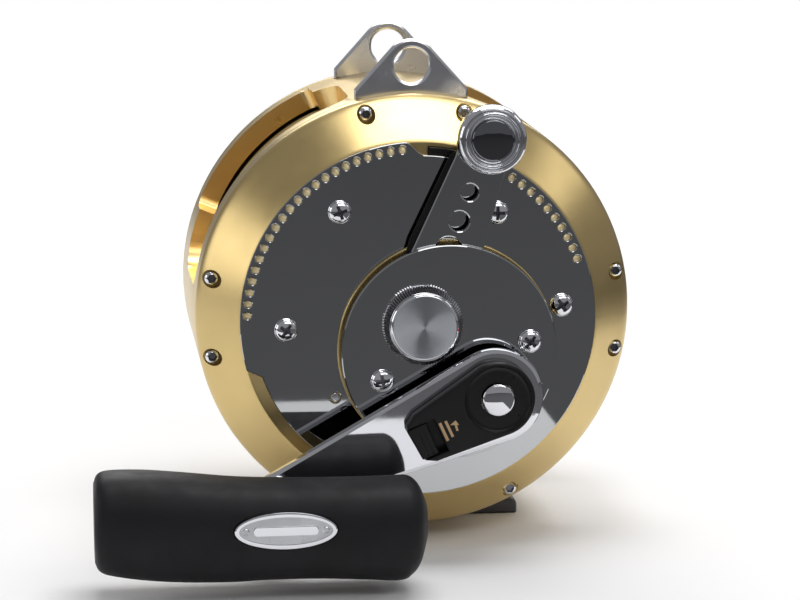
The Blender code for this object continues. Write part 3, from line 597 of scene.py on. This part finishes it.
def make_detents():
    """The gold floor of each slot, which slopes down outwards as the cone does, all as one piece. Its gold is
    a lighter, half-matt copy of the satin gold: painted light, so the floors read lit.
    """
    bottom, crest, slope = PLATE_LOW - 0.28, 0.55, 0.45
    shape = bmesh.new()
    for radius, edge in slot_outlines():
        middle = Vector((sum(x for x, z in edge), sum(z for x, z in edge))) / len(edge)
        rings = []
        for share, lift in ((0.95, None), (0.95, -0.08), (0.9, 0.0)):
            ring = []
            for corner in edge:
                point = middle + (Vector(corner) - middle) * share
                height = bottom
                if lift is not None:
                    height = PLATE_LOW + (lift + max(0.0, crest - slope * (point.length - radius)))
                ring.append(shape.verts.new((*point, height)))
            rings.append(ring)
        for one, two in zip(rings, rings[1:]):
            for step in range(len(edge)):
                after = (step + 1) % len(edge)
                shape.faces.new((one[step], one[after], two[after], two[step]))
        shape.faces.new(rings[0])
        shape.faces.new(rings[-1])
    return settle("detent_pips", shape, PIP_GOLD_PAINTED_LIGHT, 60.0)


def make_quadrant_plate():
    """The polished plate with its two notches, its slots and their floors, and its five screws."""
    ramp = 2.5
    outline = arc(PLATE_LEFT_R, 94.6, 195.3, 120) + arc(NOTCH_R, 199.0, 250.0, 60)
    outline += arc(PLATE_R, 250.0 + ramp, 420.0, 190) + arc(NOTCH_R - 0.4, 420.0 + ramp, 448.5, 34)
    swept_end = ((62.6, 89.4), (63.4, 90.5), (64.6, 91.6), (65.8, 92.5), (66.8, 93.5))
    outline += [polar(radius, angle) for radius, angle in swept_end]
    holes = [circle(HUB_BORE_R), circle(SHAFT_BORE_R, 48, HANDLE), circle(2.1, 32, SET_SCREW)]
    holes += [edge for radius, edge in slot_outlines()]
    body = plate("quadrant_mirror", outline, PLATE_LOW, PLATE_TOP, MIRROR, holes, bevel=0.3)
    stand_for(body, "reel_body", "dark_mirror", "quadrant_plate")
    stand_for(make_detents(), "reel_body", "gold")
    for index, centre in enumerate(PLATE_SCREWS):
        screw = cross_screw(f"plate_cross_screw_{index + 1}", centre, PLATE_TOP + SEAT, 0.35 + 0.6 * index)
        stand_for(screw, "reel_body", "chrome", f"plate_screw_{index + 1}")
    top = PLATE_TOP - 0.5
    ring = rounded([(0, top), (1.7, top, 0.4), (1.7, PLATE_LOW), (0, PLATE_LOW)], 0.1, 3, False)
    plug = lathe("set_screw_plug", ring, CHROME, SET_SCREW, 40)
    well = [(0, PLATE_TOP), (1.1, PLATE_TOP), (0.9, PLATE_LOW + 0.2), (0, PLATE_LOW + 0.2)]
    carve(plug, [lathe("set_screw_socket", well, CHROME, SET_SCREW, 6)])
    stand_for(plug, "reel_body", "steel", "set_screw")


def make_cover():
    """The disc, the gold ring and wall under it, and its screws."""
    holes = [circle(SPINDLE_BORE_R, 48), circle(SHAFT_BORE_R, 48, HANDLE)]
    disc = plate("cover_mirror", circle(40.5, 200, COVER), COVER_LOW, COVER_TOP, MIRROR, holes, bevel=0.45)
    stand_for(disc, "reel_body", "dark_mirror", "cover_disc")
    low = PLATE_TOP + SEAT
    top = SIDE_H + 19.3
    wall_top = COVER_LOW - SEAT
    bead = rounded([(33.0, low), (41.3, low, 0.3), (41.3, top, 0.5), (33.0, top, 0.3)], 0.2, 4)
    ring = lathe("cover_ring", bead, GOLD, COVER, 200)
    wall = arc(39.2, 190.0, 364.0, 90, COVER) + arc(29.6, 364.0, 190.0, 80, COVER)
    added = [plate("cover_wall", wall, low, wall_top, GOLD, bevel=HAIR)]
    boss = [(0, wall_top), (3.6, wall_top), (3.6, low), (0, low)]
    for index, centre in enumerate(COVER_SCREWS):
        added.append(lathe(f"cover_boss_{index}", boss, GOLD, centre, 32))
    carve(ring, added, "UNION")
    stand_for(ring, "reel_body", "gold", "cover_spacer")
    for index, centre in enumerate(COVER_SCREWS):
        screw = cross_screw(f"cover_cross_screw_{index + 1}", centre, COVER_TOP + SEAT, 0.2 + 0.7 * index)
        stand_for(screw, "reel_body", "chrome", f"cover_screw_{index + 1}")


# ---- spool ----------------------------------------------------------------------------------------
def make_spool():
    """The empty spool: two flanges, the arbor between them, and a bearing seat at each end."""
    left, right = heights("spool")
    flange, arbor, radius = 3.0, 30.0, 74.0
    profile = rounded([(radius, right, 0.8), (radius, right - flange, 0.8), (arbor, right - flange - 1, 2.0),
                       (arbor, left + flange + 1, 2.0), (radius, left + flange, 0.8), (radius, left, 0.8),
                       (11.3, left), (11.3, left + 7.3), (8.5, left + 7.3), (8.5, right - 7.3),
                       (11.3, right - 7.3), (11.3, right)], 0.2, 4)
    stand_for(lathe("spool_body", profile, GOLD, steps=160), "spool_assembly", "gold", "spool")


# ---- handle ---------------------------------------------------------------------------------------
ARM_LOW, ARM_TOP = SIDE_H + 34.5, SIDE_H + 39.0


def on_arm(points):
    """Plan points measured along and across the arm, from the drive shaft."""
    return turn_plan(points, ARM_TURN, HANDLE)


def make_handle():
    """The arm, thick at the hub and drawn in to the tip, and the spindle that the grip turns on."""
    hub_r, tip_r = 18.0, 7.8
    lean = degrees(acos((hub_r - tip_r) / ARM_LENGTH))
    outline = arc(hub_r, lean, 360 - lean, 80) + arc(tip_r, -lean, lean, 40, (ARM_LENGTH, 0))
    arm = plate("handle_arm_body", on_arm(outline), ARM_LOW, ARM_TOP, CHROME, bevel=1.7)
    boss = [(0, ARM_LOW + 1.0), (9.6, ARM_LOW + 1.0), (9.6, COVER_TOP + 0.5), (0, COVER_TOP + 0.5)]
    carve(arm, [lathe("arm_boss", boss, CHROME, HANDLE, 96)], "UNION")
    bores = []
    above, ledge = ARM_TOP + 1, ARM_TOP - 0.4
    for name, centre, radius, mouth in (("drive", HANDLE, 6.3, 2.7), ("post", POST, 5.3, 5.3)):
        bore = [(0, above), (mouth, above), (mouth, ledge), (radius, ledge), (radius, COVER_TOP),
                (0, COVER_TOP)]
        bores.append(lathe(f"{name}_bore", bore, CHROME, centre, 64))
    carve(arm, bores)
    stand_for(arm, "handle", "chrome", "handle_arm")
    post = rounded([(0, 81.0), (4.6, 81.0), (5.0, 80.6), (5.0, 54.6), (7.6, 54.6, 0.8), (7.6, 39.3, 0.8),
                    (5.0, 39.3), (5.0, 33.9), (0, 33.9)], 0.2, 4, False)
    spindle = lathe("grip_spindle", raised(post, SIDE_H), CHROME, POST, 96)
    stand_for(spindle, "handle", "chrome", "grip_post")


def make_shift_cap():
    """The black cap on the hub with its push button, the sliding tab, and plain gold markings."""
    low, high = heights("shift_cap")
    rails = [(30.9, -7.6), (34.6, -5.0), (35.2, -3.4), (24.4, -3.4), (24.4, 9.7), (33.4, 9.7), (29.8, 11.7)]
    outline = arc(13.8, 86, 282, 80) + rails
    body = plate("shift_cap_body", on_arm(outline), low, high, PLASTIC, bevel=0.6)
    dish = rounded([(0, high + 1), (12.6, high + 1, 0), (12.6, high - 0.1, 0.5), (11.6, high - 1.1, 0.8),
                    (0, high - 1.1)], 0.2, 4, False)
    well = [(0, high), (6.4, high), (6.4, low - 1), (0, low - 1)]
    carve(body, [lathe("cap_dish", dish, PLASTIC, HANDLE, 96), lathe("cap_well", well, PLASTIC, HANDLE, 64)])
    pit = [(0, high), (0.6, high), (0.45, high - 1.5), (0, high - 1.5)]
    for index, centre in enumerate(on_arm([(-4.6, 8.6), (-8.4, -5.4)])):
        carve(body, [lathe(f"cap_dimple_{index}", pit, PLASTIC, centre, 16)])
    stand_for(body, "handle", "black_plastic", "shift_cap")
    tab = rounded([(27.7, -3.1, 0.4), (35.6, -3.1), (34.3, 9.4), (27.7, 9.4, 0.4)], 0.8, 5)
    top = heights("release_tab")[1]
    slide = plate("release_tab_body", on_arm(tab), low, top, PLASTIC, bevel=0.5)
    track = plate("tab_track", on_arm([(22.0, -4.0), (34.4, -4.0), (33.6, 10.2), (22.0, 10.2)]),
                  ARM_TOP + 0.02, low - 0.06, PLASTIC, bevel=0.05)
    stand_for(track, "handle", "black_plastic")
    grooves = []
    for index, x in enumerate((29.4, 31.4)):
        groove = [(x, -2.2), (x + 0.7, -2.2), (x + 0.7, 8.6), (x, 8.6)]
        grooves.append(plate(f"tab_groove_{index}", on_arm(groove), top - 0.5, top + 1, PLASTIC, bevel=HAIR))
    carve(slide, grooves)
    stand_for(slide, "release_slide", "black_plastic", "release_tab")
    crown = [(0, 46.0), (1.5, 45.97, 0), (3.0, 45.86, 0), (4.4, 45.68, 0), (5.4, 45.48, 0.1),
             (6.0, 45.1, 0.3)]
    button = rounded(crown + [(6.0, 41.4, 0.2), (2.3, 41.4), (2.3, 38.7), (0, 38.7)], 0.1, 5, False)
    push = lathe("shift_button_body", raised(button, SIDE_H), CHROME, HANDLE, 96)
    stand_for(push, "shift_push_button", "chrome", "shift_button")
    marks = {
        "mark_arrow": [(17.5, 0.3), (17.0, 2.4), (17.7, 2.2), (18.0, 4.3), (18.8, 4.1), (18.5, 1.8),
                       (20.0, 1.1)],
        "mark_bar_1": [(20.5, -1.0), (21.5, -1.0), (21.3, 5.6), (20.3, 5.6)],
        "mark_bar_2": [(22.7, -1.2), (23.8, -1.2), (23.6, 6.2), (22.5, 6.2)],
    }
    for name, points in marks.items():
        mark = plate(name, on_arm(points), high - 0.15, high + 0.08, GOLD_PRINT, bevel=0.03)
        stand_for(mark, "handle", "gold")


GRIP_STATIONS = [          # x, top z, bottom z, from the flat end to the slanted one
    (-123.4, -46.5, -74.0), (-121.8, -43.2, -77.0), (-117.5, -42.0, -78.8), (-106.0, -42.1, -80.8),
    (-92.0, -43.4, -82.0), (-75.0, -45.3, -82.4), (-62.0, -46.1, -82.0), (-45.0, -46.6, -82.1),
    (-27.0, -46.8, -83.0), (-15.0, -46.6, -83.7), (-10.6, -46.9, -81.8), (-7.4, -49.5, -77.5),
    (-5.2, -54.5, -69.5),
]
GRIP_DEPTH = 17.4
GRIP_H = SIDE_H + 73.0


def blend_stations(stations, pieces):
    """Catmull-Rom points through the stations."""
    out = []
    for index in range(len(stations) - 1):
        a, b, c, d = (Vector(stations[min(max(index + k, 0), len(stations) - 1)]) for k in (-1, 0, 1, 2))
        for step in range(pieces):
            t = step / pieces
            out.append(0.5 * (2 * b + (c - a) * t + (2 * a - 5 * b + 4 * c - d) * t ** 2
                              + (3 * b - a - 3 * c + d) * t ** 3))
    return out + [Vector(stations[-1])]


def make_grip():
    """The T-bar: squared rings lofted along the stations and closed at both ends, with its badge."""
    shape = bmesh.new()
    around, rings, squareness = 96, [], 2.5
    stations = blend_stations(GRIP_STATIONS, 6)
    first, last = stations[0], stations[-1]
    # Each ring is a station, the share of its size, and how far it moves along the grip.
    listed = [(first, 0.4, 0.0), (first, 0.8, 0.0)] + [(station, 1.0, 0.0) for station in stations]
    listed += [(last, 0.8, 0.25), (last, 0.4, 0.4)]
    for station, share, move in listed:
        x, top, bottom = station
        middle, half = (top + bottom) / 2, (top - bottom) / 2 * share
        depth = GRIP_DEPTH * min(1.0, 0.35 + (top - bottom) / 2 / 28.0) * share
        ring = []
        for step in range(around):
            turn = 2 * pi * step / around
            square = (abs(cos(turn)) ** squareness + abs(sin(turn)) ** squareness) ** (-1 / squareness)
            ring.append(shape.verts.new((x + move, middle + half * square * sin(turn),
                                         GRIP_H + depth * square * cos(turn))))
        rings.append(ring)
    for before, after in zip(rings, rings[1:]):
        for step in range(around):
            following = (step + 1) % around
            shape.faces.new((before[step], before[following], after[following], after[step]))
    shape.faces.new(rings[0][::-1])
    shape.faces.new(rings[-1])
    grip = settle("grip_body_rubber", shape, RUBBER, 60.0)
    face = GRIP_H + GRIP_DEPTH
    bore = [(0, SIDE_H + 81.5), (5.3, SIDE_H + 81.5), (5.3, SIDE_H + 50), (0, SIDE_H + 50)]
    cutters = [lathe("grip_bore", bore, RUBBER, POST, 48)]
    cutters.append(plate("badge_pocket", oval(18.7, 7.1, POST), face - 1.6, face + 5, RUBBER, bevel=HAIR))
    carve(grip, cutters, sharp=60.0)
    stand_for(grip, "grip_body", "grip_rubber", "grip")
    badge = plate("badge_oval", oval(18.3, 6.7, POST), face - 1.3, face + 0.4, CHROME, bevel=0.6)
    field = plate("badge_field", oval(16.6, 5.1, POST), face + 0.05, face + 2, STEEL, bevel=HAIR)
    carve(badge, [field])
    stand_for(badge, "grip_body", "chrome", "grip_badge")
    band = [(POST[0] - 11.5, POST[1] - 1.7), (POST[0] + 11.5, POST[1] - 1.7),
            (POST[0] + 11.5, POST[1] + 1.7), (POST[0] - 11.5, POST[1] + 1.7)]
    raised_band = plate("badge_band", rounded(band, 1.6, 6), face - 0.1, face + 0.45, CHROME)
    stand_for(raised_band, "grip_body", "chrome")
    for side, along in (("left", -14.2), ("right", 14.2)):
        screw = hex_screw(f"badge_screw_{side}", (POST[0] + along, POST[1]), face - 0.6, face + 0.35, 1.7)
        stand_for(screw, "grip_body", "chrome")


# ---- drag lever, knobs and switches ---------------------------------------------------------------
def paint_round(piece, material, centre, inner, outer, low):
    """Gives the faces of a round piece between two radii, and above a height, another material."""
    piece.data.materials.append(material)
    for face in piece.data.polygons:
        spread = hypot(face.center.x / MM - centre[0], face.center.z / MM - AXIS_Z - centre[1])
        if inner <= spread < outer and -face.center.y / MM > low:
            face.material_index = len(piece.data.materials) - 1


def lever_holes(wider):
    """The bore at the axis, and the three lightening holes, each that much wider."""
    holes = [circle(SPINDLE_BORE_R, 64)]
    for radius, x in ((4.7, 29.4), (3.7, 40.6), (3.1, 52.0)):
        holes.append(turn_plan(circle(radius + wider, 56, (x, 0)), LEVER_TURN))
    return holes


def make_lever():
    """The lever in two layers, its knob, and the strike stop beside it."""
    edge = [(13.0, 14.0), (62.5, 10.0)]
    reach = hypot(*KNOB)
    outline = arc(18.6, 62, 298, 70) + [(x, -width) for x, width in edge]
    outline += arc(10.5, -66, 66, 30, (reach - 3.0, 0)) + edge[::-1]
    middle = LEVER_LOW + 0.7
    body = plate("drag_lever_body", turn_plan(outline, LEVER_TURN), middle, LEVER_TOP, MIRROR,
                 lever_holes(0.0), bevel=0.6)
    stand_for(body, "lever", "dark_mirror", "drag_lever")
    # Under the polished face lies a black layer; the strip of it that shows past the lever's trailing edge is
    # painted shade, a dark band for the lever's dark side and its reflection in the plate.
    layer_and_shade_band = arc(18.2, 62, 298, 70)
    layer_and_shade_band += [(14.0, -13.4), (62.0, -9.6), (66.0, 9.0), (62.5, 11.6), (28.0, 14.9), (14.0, 14.0)]
    under = plate("lever_layer_and_painted_shade", turn_plan(layer_and_shade_band, LEVER_TURN), LEVER_LOW, middle - 0.02, PLASTIC,
                  lever_holes(0.15), bevel=0.15)
    stand_for(under, "lever", "black_plastic")
    knob = [(0, 33.0), (4.0, 32.95, 0), (7.6, 32.5, 0.6), (8.3, 31.4, 0.3), (9.2, 31.3, 0.2),
            (9.4, 32.6, 0.3), (10.2, 32.6, 0.3), (10.5, 31.7, 0.2), (11.2, 31.7, 0.2), (11.5, 32.3, 0.3),
            (12.4, 31.6, 0.7), (12.9, 29.6, 0.6), (13.0, 27.2, 0.2), (12.8, 27.0, 0), (12.8, 25.2, 0),
            (12.2, 24.1, 0.3), (0, 24.1)]
    profile = rounded(raised(knob, SIDE_H), 0.2, 4, False)
    head = lathe("lever_knob_body", profile, CHROME, KNOB, 144, (SIDE_H + 25.1, SIDE_H + 27.05, 0.3))
    paint_round(head, DOME, KNOB, 0.0, 7.9, SIDE_H + 31.8)
    stand_for(head, "lever", "chrome", "lever_knob")
    strip = arc(65.3, 75.0, 87.0, 30) + arc(62.6, 87.0, 75.0, 30)
    stop = plate("strike_stop_body", strip, SIDE_H + 15.0, SIDE_H + 18.4, PLASTIC, bevel=0.3)
    stand_for(stop, "strike_button", "black_plastic", "strike_stop")


def make_preset_knob():
    """A dished, turned face in a bright rim, with a knurled cone round it painted darker as shade in its
    grooves, and a red index dot.
    """
    rows = 8
    knob = [(0, 33.7), (2.0, 33.74, 0), (11.9, 34.0, 0.3), (12.6, 33.5, 0.3), (12.9, 32.5, 0.2)]
    knob += [(13.3 + 1.8 * row / rows, 32.2 - 3.4 * row / rows, 0) for row in range(rows + 1)]
    knob += [(14.4, 27.4, 0.2), (4.3, 27.4), (4.3, 32.0), (0, 32.0)]
    profile = rounded(raised(knob, SIDE_H), 0.1, 3, False)
    body = lathe("preset_knob_body", profile, CHROME, steps=180,
                 knurl=(SIDE_H + 28.7, SIDE_H + 32.3, 0.5), sharp=25.0)
    paint_round(body, KNOB_FACE, (0.0, 0.0), 0.0, 11.85, SIDE_H + 33.0)
    # The knurled band is painted darker: painted shade in its grooves.
    paint_round(body, RECESS_SHADE_PAINT, (0.0, 0.0), 12.95, 15.2, SIDE_H + 28.4)
    stand_for(body, "preset", "steel", "preset_knob")
    dot = lathe("preset_index_dot", [(0, 33.9), (0.45, 33.85), (0.5, 33.0), (0, 33.0)], RED_PAINT,
                (12.3, -1.0), 20)
    dot.data.transform(Matrix.Translation((0, -SIDE_H * MM, 0)))
    stand_for(dot, "preset", "chrome")


def make_clicker():
    """The click switch's button, with the stem that reaches the pawl."""
    outer, inner = -SIDE_H - BACK_H - SEAT, -SIDE_H + 9.2
    knob = [(0, outer - 3.6), (5.0, outer - 3.6, 0.8), (6.0, outer - 2.8, 0.5), (6.0, outer, 0.2),
            (2.6, outer, 0.1), (2.6, inner), (0, inner)]
    switch = lathe("click_switch_body", rounded(knob, 0.1, 4, False), PLASTIC, plan("click_switch"), 96)
    stand_for(switch, "clicker", "black_plastic", "click_switch")


make_frame()
make_lugs()
make_foot()
make_right_side()
make_left_side()
make_ring_screws()
make_quadrant_plate()
make_cover()
make_spool()
make_handle()
make_shift_cap()
make_grip()
make_lever()
make_preset_knob()
make_clicker()

# The CAD nodes that stay, mostly inside, take the finish of their kind.
KEPT_FINISHES = {
    "high_gear": BRASS, "low_gear": BRASS, "drag_disc": LINING, "gear_case_cover": FOOT,
    "foot_screw_1": CHROME, "foot_screw_2": CHROME,
}
for name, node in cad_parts.items():
    node.data.materials.clear()
    node.data.materials.append(KEPT_FINISHES.get(name, STEEL))

# ---- camera, floor and light ----------------------------------------------------------------------
VIEW_AZ, VIEW_EL, VIEW_DISTANCE = radians(-6.83), radians(10.2), 1.13878
TARGET = Vector((-0.005285, -SIDE_H * MM, AXIS_Z * MM + 0.004626))
back = Vector((sin(VIEW_AZ) * cos(VIEW_EL), -cos(VIEW_AZ) * cos(VIEW_EL), sin(VIEW_EL)))
camera = bpy.data.objects.new("camera", bpy.data.cameras.new("camera"))
camera.data.lens = 135.0
camera.data.sensor_width = 36.0
camera.location = TARGET + back * VIEW_DISTANCE
camera.rotation_mode = "QUATERNION"
camera.rotation_quaternion = (-back).to_track_quat("-Z", "Y")
bpy.context.scene.collection.objects.link(camera)
bpy.context.scene.camera = camera


def sheet(name, corners, material):
    """A flat staged surface through its corners, in metres."""
    mesh = bpy.data.meshes.new(name)
    mesh.from_pydata(corners, [], [tuple(range(len(corners)))])
    mesh.materials.append(material)
    made = bpy.data.objects.new(name, mesh)
    bpy.context.scene.collection.objects.link(made)
    return made


def square(left, right, near, far, height):
    """The corners of a level rectangle."""
    return [(left, near, height), (right, near, height), (right, far, height), (left, far, height)]


def plain(name, colour, strength=0.0):
    """A matt colour for the stage, which glows by strength."""
    made = bpy.data.materials.new(name)
    made.use_nodes = True
    shader = made.node_tree.nodes["Principled BSDF"]
    shader.inputs["Base Color"].default_value = (*colour, 1)
    shader.inputs["Roughness"].default_value = 0.9
    shader.inputs["Specular IOR Level"].default_value = 0.0
    shader.inputs["Emission Color"].default_value = (*colour, 1)
    shader.inputs["Emission Strength"].default_value = strength
    return made


FLOOR = plain("pale_floor", (0.9, 0.9, 0.9))
# A dim glow for the sheets that only reflections see: painted dark reflection.
DARK_REFLECTION_GLOW = plain("painted_dark_reflection", (0.058, 0.058, 0.06), 1.0)
sheet("floor", square(-1.5, 1.5, -2.5, 1.2, 0.0), FLOOR)
# Painted reflection: dim glowing sheets on the floor that only reflections see, so polished faces show dark
# where the floor is pale to the camera.
DARK_AREAS = ((-6.0, 6.0, -6.0, -0.336), (0.088, 6.0, -0.336, -0.15), (0.42, 6.0, -0.15, 6.0))
DARK_HEIGHT = 0.0005
for index, area in enumerate(DARK_AREAS):
    dark = sheet(f"painted_reflection_sheet_{index}", square(*area, DARK_HEIGHT), DARK_REFLECTION_GLOW)
    for flag in ("visible_camera", "visible_diffuse", "visible_shadow", "visible_transmission"):
        setattr(dark, flag, False)


def softbox(name, place, size, power):
    """An area light aimed at the spool's axis."""
    light = bpy.data.lights.new(name, "AREA")
    light.shape = "RECTANGLE"
    light.size, light.size_y = size
    light.energy = power
    made = bpy.data.objects.new(name, light)
    made.location = place
    made.rotation_mode = "QUATERNION"
    made.rotation_quaternion = (AIM - Vector(place)).to_track_quat("-Z", "Y")
    made.visible_camera = False
    bpy.context.scene.collection.objects.link(made)


AIM = Vector((0.0, 0.0, AXIS_Z * MM))
softbox("soft_top", (0.14, -0.05, 1.3), (0.62, 0.9), 9.0)
softbox("soft_left", (-1.3, -0.15, 0.43), (1.1, 0.55), 3.0)
softbox("soft_right", (1.1, 0.0, 0.80), (0.8, 0.34), 1.0)
softbox("soft_front", (0.5, -1.5, 1.5), (1.6, 0.6), 7.0)
softbox("soft_back", (0.2, 1.6, 1.2), (1.6, 1.0), 20.0)

world = bpy.data.worlds.new("studio")
bpy.context.scene.world = world
world.use_nodes = True
nodes, links = world.node_tree.nodes, world.node_tree.links
dim, pale = nodes["Background"], nodes.new("ShaderNodeBackground")
dim.inputs["Color"].default_value = (0.26, 0.26, 0.27, 1)
pale.inputs["Color"].default_value = (1.0, 1.0, 1.0, 1)
pick, ray = nodes.new("ShaderNodeMixShader"), nodes.new("ShaderNodeLightPath")
links.new(ray.outputs["Is Camera Ray"], pick.inputs["Fac"])
links.new(dim.outputs["Background"], pick.inputs[1])
links.new(pale.outputs["Background"], pick.inputs[2])
links.new(pick.outputs["Shader"], nodes["World Output"].inputs["Surface"])
bpy.context.scene.view_settings.view_transform = "Standard"
